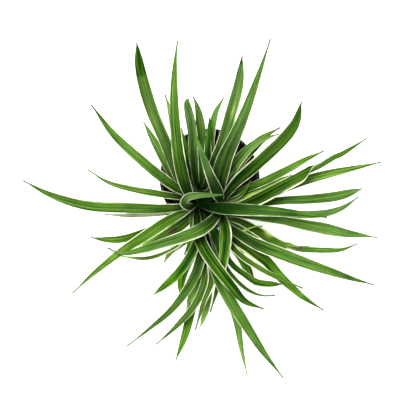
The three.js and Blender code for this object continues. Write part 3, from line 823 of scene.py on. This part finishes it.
def leaf_green(tree, patterns, light):
    """The green of a blade, with its bands, painted sheen, veins, painted light and shade, and pale
    patches.
    """
    tone = read_value(tree, "tone")
    for name, strength in TONE_SHIFTS.items():
        tone = maths(tree, "ADD", tone, centred(tree, patterns[name], strength))
    green = mixed(tree, between(tree, tone, 0.0, 0.5), DEEP_GREEN, MIDDLE_GREEN)
    green = mixed(tree, between(tree, tone, 0.5, 1.0), green, BRIGHT_GREEN)
    # A painted sheen in fine streaks, pale grey green, stands in for the lamps' reflection.
    sheen_share = scaled(tree, read_value(tree, "bloom"), between(tree, patterns["fine"], *SHEEN_SHOWS))
    green = mixed(tree, sheen_share, green, PAINTED_SHEEN_GREY)
    veins = scaled(tree, between(tree, patterns["fine"], *VEINS_SHOW), VEIN_CONTRAST)
    # The blade's painted light and shade scale its green.
    green = dimmed(tree, green, scaled(tree, maths(tree, "ADD", 1.0, veins), light))
    pale = scaled(tree, read_value(tree, "pale"), between(tree, patterns["streaks"], *PALE_SHOWS))
    return mixed(tree, pale, green, YELLOWED)


def cream_share(tree, patterns):
    """How cream a blade is: all over its margins, which are ragged and fainter here and there."""
    ragged = centred(tree, patterns["ragged"], MARGIN_RAGGED)
    edge = maths(tree, "ADD", read_value(tree, "inside"), ragged)
    cream = maths(tree, "SUBTRACT", 1.0, between(tree, edge, *MARGIN_EDGE))
    return scaled(tree, cream, between(tree, patterns["gaps"], *MARGIN_SHOWS))


def dried_share(tree, patterns):
    """How far a blade has dried, with frayed borders."""
    frayed = maths(tree, "ADD", read_value(tree, "brown"), centred(tree, patterns["fine"], FRAYING))
    return between(tree, frayed, *DRIED_SHOWS)


def leaf_material():
    """Green in long bands, with cream margins, dried tips, painted shade at its base and a paler underside.
    """
    material, tree, surface = new_material("leaf_green", roughness=0.45, specular=LEAF_SHEEN)
    patterns = leaf_patterns(tree)
    light = read_value(tree, "light")
    under = read_value(tree, "under")
    base = leaf_green(tree, patterns, light)
    base = mixed(tree, cream_share(tree, patterns), base, CREAM)
    base = mixed(tree, read_value(tree, "sheath"), base, SHEATH)
    base = mixed(tree, dried_share(tree, patterns), base, dimmed(tree, DRIED, light))
    # The leaf's base is painted in shade, a deep green that fades out along the blade.
    base = mixed(tree, read_value(tree, "shade"), base, PAINTED_SHADE_GREEN)
    base = mixed(tree, scaled(tree, under, UNDER_COLOUR), base, UNDERSIDE)
    rough = maths(tree, "ADD", LEAF_ROUGHNESS, scaled(tree, patterns["patches"], PATCH_ROUGHNESS))
    rough = maths(tree, "ADD", rough, scaled(tree, under, UNDER_ROUGHNESS))
    plug(surface, {"Base Color": base, "Roughness": rough, "Subsurface Weight": 0.1,
                   "Subsurface Radius": (0.6, 1.0, 0.3), "Subsurface Scale": 0.0008})
    relief = maths(tree, "ADD", patterns["streaks"], patterns["fine"])
    bumped(tree, surface, relief, strength=0.5, distance=0.0004)
    return material


def pot_material():
    """Black moulded plastic, with a fine matt texture, faint scuffs and a little dust."""
    material, tree, surface = new_material("black_plastic", roughness=0.45, specular=0.2)
    dust = between(tree, cloud(tree, scale=25.0, detail=3.0), 0.45, 0.8)
    scuffs = cloud(tree, scale=90.0, detail=4.0, roughness=0.7)
    plug(surface, {"Base Color": mixed(tree, scaled(tree, dust, 0.25), POT_BLACK, POT_DUST),
                   "Roughness": maths(tree, "ADD", 0.36, scaled(tree, scuffs, 0.25))})
    bumped(tree, surface, cloud(tree, scale=1800.0), strength=0.25, distance=0.0002)
    return material


def painted_soil_shade(tree):
    """How light the soil is painted, from nearly black with painted shade among the crowns to its own brown
    by the wall.
    """
    away = node(tree, "VectorMath", {0: own_place(tree), 1: SOIL_SHADE_AT}, operation="DISTANCE")
    unshaded = between(tree, away.outputs["Value"], *SOIL_SHADE_REACH)
    return maths(tree, "ADD", SHADED_SOIL_LIGHT, unshaded)


def soil_material():
    """Dark potting mix with redder and paler fibres."""
    material, tree, surface = new_material("potting_soil", roughness=0.9, specular=0.1)
    clumps = cloud(tree, scale=260.0, detail=5.0, roughness=0.65)
    fibres = cloud(tree, scale=900.0, detail=3.0, roughness=0.6)
    base = mixed(tree, between(tree, clumps, 0.35, 0.65), SOIL_DARK, SOIL_BROWN)
    base = mixed(tree, scaled(tree, between(tree, fibres, 0.58, 0.7), 0.7), base, SOIL_FIBRE)
    # The soil's colour is dimmed by painted shade among the crowns.
    plug(surface, {"Base Color": dimmed(tree, base, painted_soil_shade(tree))})
    relief = maths(tree, "ADD", clumps, scaled(tree, fibres, 0.4))
    bumped(tree, surface, relief, strength=0.9, distance=0.002)
    return material


def crumb_material():
    """Bits of bark and coir, each its own brown."""
    material, tree, surface = new_material("bark_crumbs", roughness=0.85, specular=0.3)
    base = mixed(tree, between(tree, read_value(tree, "tint"), 0.0, 1.0), SOIL_DARK, SOIL_FIBRE)
    mottled = cloud(tree, scale=700.0, detail=3.0)
    base = mixed(tree, scaled(tree, mottled, 0.5), base, SOIL_BROWN)
    # The crumbs' colour is dimmed by the same painted shade among the crowns.
    plug(surface, {"Base Color": dimmed(tree, base, painted_soil_shade(tree))})
    bumped(tree, surface, cloud(tree, scale=1500.0, detail=3.0), strength=0.7, distance=0.001)
    return material


def floor_material():
    """A pale floor that glows a little, so that it shows as white."""
    material, tree, surface = new_material("pale_floor", roughness=0.9, specular=0.2)
    base = mixed(tree, cloud(tree, scale=3.0, detail=3.0), FLOOR_WHITE, FLOOR_PALE)
    plug(surface, {"Base Color": base, "Emission Color": FLOOR_WHITE, "Emission Strength": FLOOR_GLOW})
    return material


DEEP_GREEN = colour(14, 46, 3)
MIDDLE_GREEN = colour(62, 99, 20)
BRIGHT_GREEN = colour(108, 140, 62)
# The deep green of the painted shade on leaf bases.
PAINTED_SHADE_GREEN = colour(3, 26, 1)
CREAM = colour(216, 222, 188)
YELLOWED = colour(186, 200, 96)
# The pale grey green of the painted sheen.
PAINTED_SHEEN_GREY = colour(84, 110, 66)
SHEATH = colour(70, 96, 34)
DRIED = colour(82, 62, 46)
UNDERSIDE = colour(84, 124, 50)
POT_BLACK = colour(4, 4, 4)
POT_DUST = colour(14, 13, 12)
SOIL_DARK = colour(7, 5, 4)
SOIL_BROWN = colour(26, 17, 11)
SOIL_FIBRE = colour(70, 50, 36)
FLOOR_WHITE = colour(246, 246, 245)
FLOOR_PALE = colour(242, 242, 241)


def around(radius, i, sides):
    """The i-th of evenly spaced places on a circle round the pot's middle."""
    angle = math.tau * i / sides
    return radius * math.cos(angle), radius * math.sin(angle)


def turned(profile, sides):
    """Corners and faces of a closed solid of revolution, from (radius, height) pairs, axis to axis."""
    corners, faces, rings = [], [], []
    for radius, height in profile:
        if radius == 0:
            rings.append([len(corners)] * sides)
            corners.append((0, 0, height))
            continue
        rings.append([len(corners) + i for i in range(sides)])
        corners += [(*around(radius, i, sides), height) for i in range(sides)]
    for low, high in zip(rings, rings[1:]):
        for i in range(sides):
            j = (i + 1) % sides
            faces.append(list(dict.fromkeys([low[i], low[j], high[j], high[i]])))
    return corners, faces


def arc(radius, height, size, start, end, steps=5):
    """(radius, height) pairs round a corner of this size, between two directions in degrees."""
    angles = [math.radians(start + (end - start) * i / steps) for i in range(steps + 1)]
    return [(radius + size * math.cos(angle), height + size * math.sin(angle)) for angle in angles]


def wall_radius(z):
    """The radius of the pot's outside at this height."""
    return POT_BASE_RADIUS + (POT_TOP_RADIUS - POT_BASE_RADIUS) * z / POT_HEIGHT


def pot_profile():
    """The pot's section, from under its middle, up its outside, over its lip and down to its floor."""
    foot = POT_HEIGHT - RIM_BAND
    lip = RIM_ROUNDING
    inner = POT_TOP_RADIUS - POT_WALL
    bevel = POT_FLOOR + FLOOR_BEVEL
    return [
        (0, 0),
        *arc(POT_BASE_RADIUS - BASE_ROUNDING, BASE_ROUNDING, BASE_ROUNDING, -90, 0),
        (wall_radius(foot) - UNDER_BAND, foot - UNDER_BAND),
        *arc(POT_RIM_RADIUS - lip, foot + lip, lip, -90, 0),
        *arc(POT_RIM_RADIUS - lip, POT_HEIGHT - lip, lip, 0, 90),
        *arc(inner + lip, POT_HEIGHT - lip, lip, 90, 180),
        (inner, foot + STEP_ABOVE),
        (wall_radius(foot) - POT_WALL, foot - STEP_BELOW),
        (wall_radius(bevel) - POT_WALL, bevel),
        (wall_radius(POT_FLOOR) - POT_WALL - FLOOR_BEVEL, POT_FLOOR),
        (0, POT_FLOOR),
    ]


def drill(pot):
    """Cuts the drain holes through the pot's floor."""
    low, high = -CUT_PAST, POT_FLOOR + CUT_PAST
    bar = [(0, low), (DRAIN_RADIUS, low), (DRAIN_RADIUS, high), (0, high)]
    cutters = []
    for i in range(DRAIN_HOLES):
        cutter = mesh_of("drain_cutter", *turned(bar, DRAIN_SIDES))
        cutter.location = (*around(DRAIN_RING_RADIUS * MM, i, DRAIN_HOLES), 0)
        cutters.append(cutter)
        cut = pot.modifiers.new("drain", "BOOLEAN")
        cut.operation = "DIFFERENCE"
        cut.object = cutter
    bpy.context.view_layer.update()
    drilled = pot.evaluated_get(bpy.context.evaluated_depsgraph_get())
    mesh = bpy.data.meshes.new_from_object(drilled)
    pot.modifiers.clear()
    pot.data = mesh
    for cutter in cutters:
        bpy.data.objects.remove(cutter)


def pot_shell():
    """The pot: a tapered shell with a rounded band round its mouth, a step inside it and drain holes."""
    pot = mesh_of("pot_shell", *turned(pot_profile(), POT_SIDES))
    drill(pot)
    smooth(pot, sharp_over=35)
    return pot


def soil_height(x, y):
    """The soil's surface: slow swells and small lumps."""
    swell = SWELL_HEIGHT * math.sin(x * 0.09 + 1.1) * math.cos(y * 0.07 + 0.4)
    lumps = noise.fractal((x * LUMP_FINENESS, y * LUMP_FINENESS, 2.0), 1.0, 2.0, 4) * LUMP_HEIGHT
    return SOIL_TOP + swell + lumps


def soil_fill():
    """The soil: a closed solid whose upper face is lumpy."""
    floor = POT_FLOOR + SOIL_GAP
    inner = wall_radius(SOIL_TOP) - POT_WALL - SOIL_GAP
    foot = wall_radius(floor) - POT_WALL - SOIL_GAP
    rings = [(inner * ring / SOIL_RINGS, SOIL_TOP) for ring in range(SOIL_RINGS + 1)]
    corners, faces = turned([*rings, (foot, floor), (0, floor)], SOIL_SIDES)
    corners = [(x, y, soil_height(x, y) if z == SOIL_TOP else z) for x, y, z in corners]
    outward = [[face[0], *face[:0:-1]] for face in faces]
    soil = mesh_of("soil_fill", corners, outward)
    smooth(soil, sharp_over=60)
    return soil


def round_crumb():
    """Corners and faces of an octahedron whose faces are each split in four."""
    corners = [Vector(c) for c in ((1, 0, 0), (0, 1, 0), (-1, 0, 0), (0, -1, 0), (0, 0, 1), (0, 0, -1))]
    faces = [(i, (i + 1) % 4, 4) for i in range(4)] + [((i + 1) % 4, i, 5) for i in range(4)]
    middles = {}

    def middle(a, b):
        key = (min(a, b), max(a, b))
        if key not in middles:
            middles[key] = len(corners)
            corners.append((corners[a] + corners[b]).normalized())
        return middles[key]

    split = []
    for a, b, c in faces:
        ab, bc, ca = middle(a, b), middle(b, c), middle(c, a)
        split += [(a, ab, ca), (b, bc, ab), (c, ca, bc), (ab, bc, ca)]
    return corners, split


def soil_crumbs(chance):
    """Bits of bark and coir that lie half sunk in the soil."""
    shape, shape_faces = round_crumb()
    corners, faces, tints = [], [], []
    reach = wall_radius(SOIL_TOP) - POT_WALL - CRUMB_FROM_WALL
    for _ in range(CRUMBS):
        radius = reach * math.sqrt(chance.random())
        angle = chance.random() * math.tau
        x, y = radius * math.cos(angle), radius * math.sin(angle)
        size = chance.uniform(*CRUMB_SIZE)
        length = size * chance.uniform(*CRUMB_LENGTH)
        width = size * chance.uniform(*CRUMB_WIDTH)
        sizes = Vector((length, width, size * CRUMB_HEIGHT))
        spin = chance.random() * math.pi
        tint = chance.random()
        first = len(corners)
        middle = soil_height(x, y) + CRUMB_RAISED * size
        for point in shape:
            rough = 1 + CRUMB_ROUGHNESS * noise.noise(point * 1.7 + Vector((x, y, 0)))
            a, b = point.x * sizes.x * rough, point.y * sizes.y * rough
            corners.append((x + a * math.cos(spin) - b * math.sin(spin),
                            y + a * math.sin(spin) + b * math.cos(spin),
                            middle + point.z * sizes.z * rough))
            tints.append(tint)
        faces += [[first + i for i in face] for face in shape_faces]
    crumbs = mesh_of("soil_crumbs", corners, faces)
    give(crumbs.data, "tint", tints)
    smooth(crumbs, sharp_over=40)
    return crumbs


def crown(name, place):
    """A short stem that the leaves of one rosette grow from, which stands in the soil."""
    profile = [(CROWN_RADIUS * share, height) for share, height in CROWN_PROFILE]
    corners, faces = turned(profile, CROWN_SIDES)
    placed = []
    for x, y, z in corners:
        swell = 1 + CROWN_RIB_DEPTH * math.sin(CROWN_RIBS * math.atan2(y, x) + z)
        placed.append((x * swell + place[0], y * swell + place[1], z))
    stem = mesh_of(name + "_crown", placed, faces)
    for key, value in CROWN_LOOK.items():
        give(stem.data, key, [value] * len(placed))
    smooth(stem, sharp_over=50)
    return stem


def area_light(name, place, width, power, tint):
    """A round lamp that shines at the plant."""
    lamp = bpy.data.lights.new(name, "AREA")
    lamp.shape = "DISK"
    lamp.size = width
    lamp.energy = power
    lamp.color = tint
    thing = shown(name, lamp)
    thing.location = place
    thing.rotation_euler = (Vector(LAMP_AIM) - Vector(place)).to_track_quat("-Z", "Y").to_euler()


def light_the_scene():
    """Even white light from all round, and the lamps."""
    world = bpy.data.worlds.new("studio")
    world.use_nodes = True
    plug(world.node_tree.nodes["Background"], {"Color": (1, 1, 1, 1), "Strength": WORLD_LIGHT})
    bpy.context.scene.world = world
    for lamp in LAMPS:
        area_light(*lamp)
    bpy.context.scene.view_settings.view_transform = "Standard"


def aim_the_camera():
    """A camera over the middle of the photograph, looking straight down."""
    camera = shown("camera", bpy.data.cameras.new("camera"))
    camera.location = [part * MM for part in CAMERA_AT]
    camera.data.sensor_width = SENSOR_WIDTH
    camera.data.lens = SENSOR_WIDTH * (CAMERA_AT[2] - MOUTH_HEIGHT) / FRAME_WIDTH
    bpy.context.scene.camera = camera


def lay_the_floor():
    """A wide square under the pot."""
    size = FLOOR_SIZE / 2
    corners = [(-size, -size, 0), (size, -size, 0), (size, size, 0), (-size, size, 0)]
    floor = mesh_of("floor", corners, [(0, 1, 2, 3)])
    floor.data.materials.append(floor_material())


def dress(piece, material, slot, *nodes):
    """Gives a piece its material, hangs it on the root body and hides the solids that it stands for."""
    piece.data.materials.append(material)
    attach(piece, "root")
    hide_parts(*nodes)


def build_plant():
    """The pot, the soil and each rosette, in the shared frame."""
    chance = random.Random(SEED)
    dress(pot_shell(), pot_material(), "pot_plastic", "pot")
    dress(soil_fill(), soil_material(), "soil", "soil")
    dress(soil_crumbs(chance), crumb_material(), "soil", "soil")
    green = leaf_material()
    number = 0
    for name, (place, leaves) in ROSETTES.items():
        dress(rosette_leaves(name, place, leaves, number), green, "leaf", name)
        dress(crown(name, place), green, "leaf", name)
        number += len(leaves)


aim_the_camera()
light_the_scene()
lay_the_floor()
build_plant()
